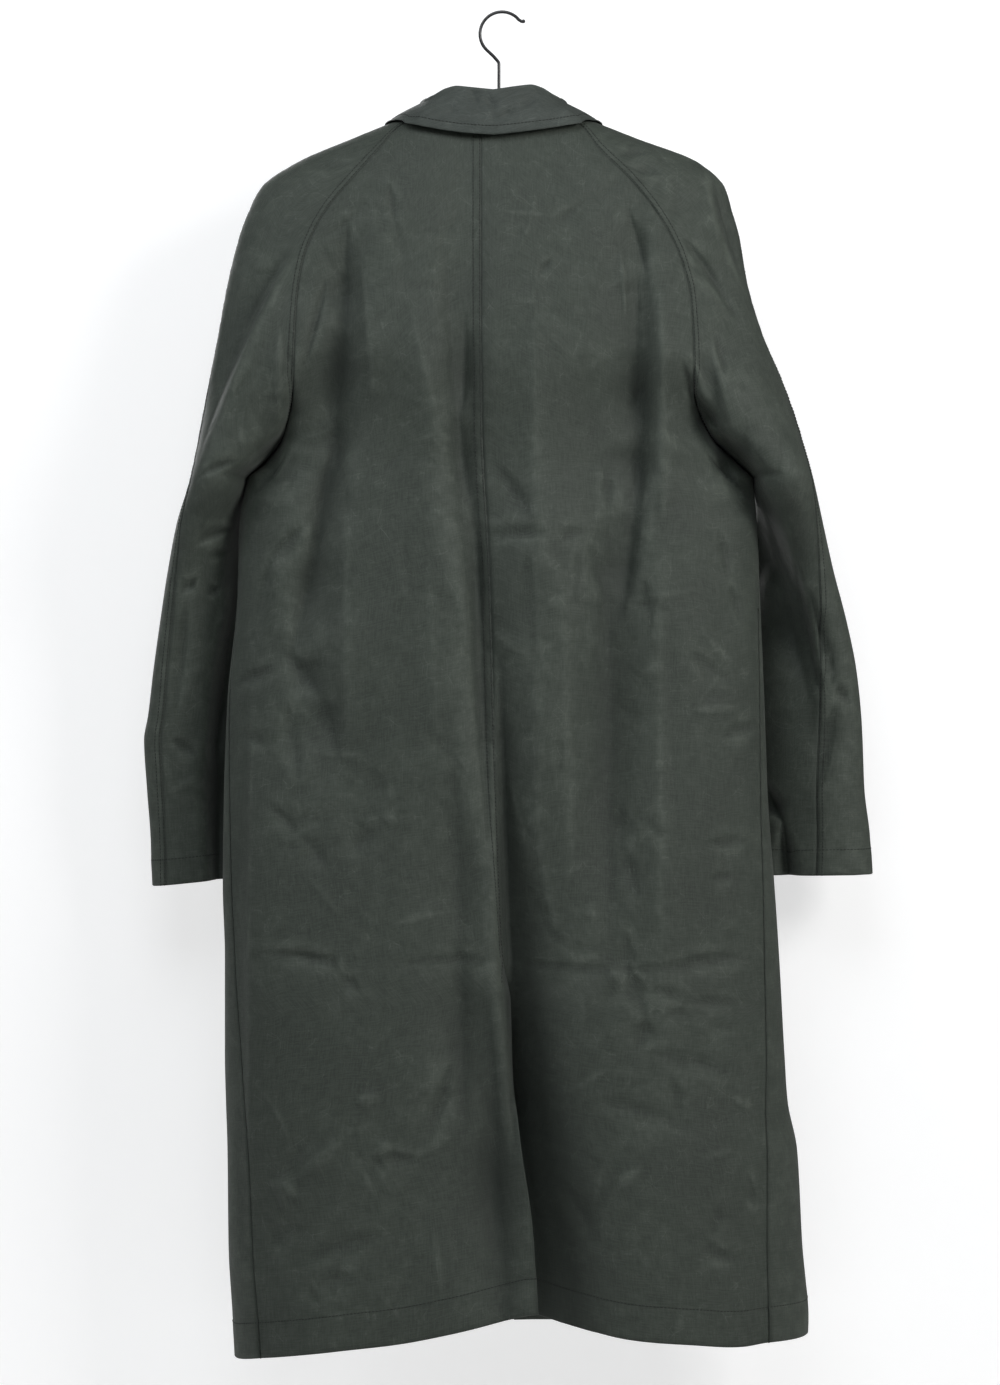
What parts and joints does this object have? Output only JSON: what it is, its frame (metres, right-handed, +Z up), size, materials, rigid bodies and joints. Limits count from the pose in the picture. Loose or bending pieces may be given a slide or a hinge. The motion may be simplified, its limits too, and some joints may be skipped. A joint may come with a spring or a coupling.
{
  "type": "long windbreaker coat on a hanger",
  "caption": "Long raglan windbreaker coat in waxed cotton, buttoned and hanging open-hemmed from the wire hook of a plain hanger, with a turned-down collar and a lapped vent at the back.",
  "frame": {"origin": "inside top of the hook, where a rail carries it", "axes": "+Z up, the coat's back faces -Y, the wearer's left is at -X"},
  "size_m": [0.6996, 0.2196, 1.2753],
  "materials": {
    "cloth": "dry waxed cotton, dark grey-green, matt with a faint sheen",
    "collar_cloth": "the same waxed cotton, a little paler and bluer from the light",
    "button": "dark imitation horn",
    "wire": "black lacquered wire",
    "bar": "dark stained wood"
  },
  "bodies": {
    "root": {"back_left": "cloth", "back_right": "cloth", "front_left": "cloth", "front_right": "cloth", "sleeve_back_left": "cloth", "sleeve_back_right": "cloth", "sleeve_front_left": "cloth", "sleeve_front_right": "cloth", "collar": "collar_cloth", "button_1": "button", "button_2": "button", "button_3": "button", "button_4": "button", "button_5": "button", "hanger_hook": "wire", "hanger_bar": "bar"}
  },
  "joints": []
}
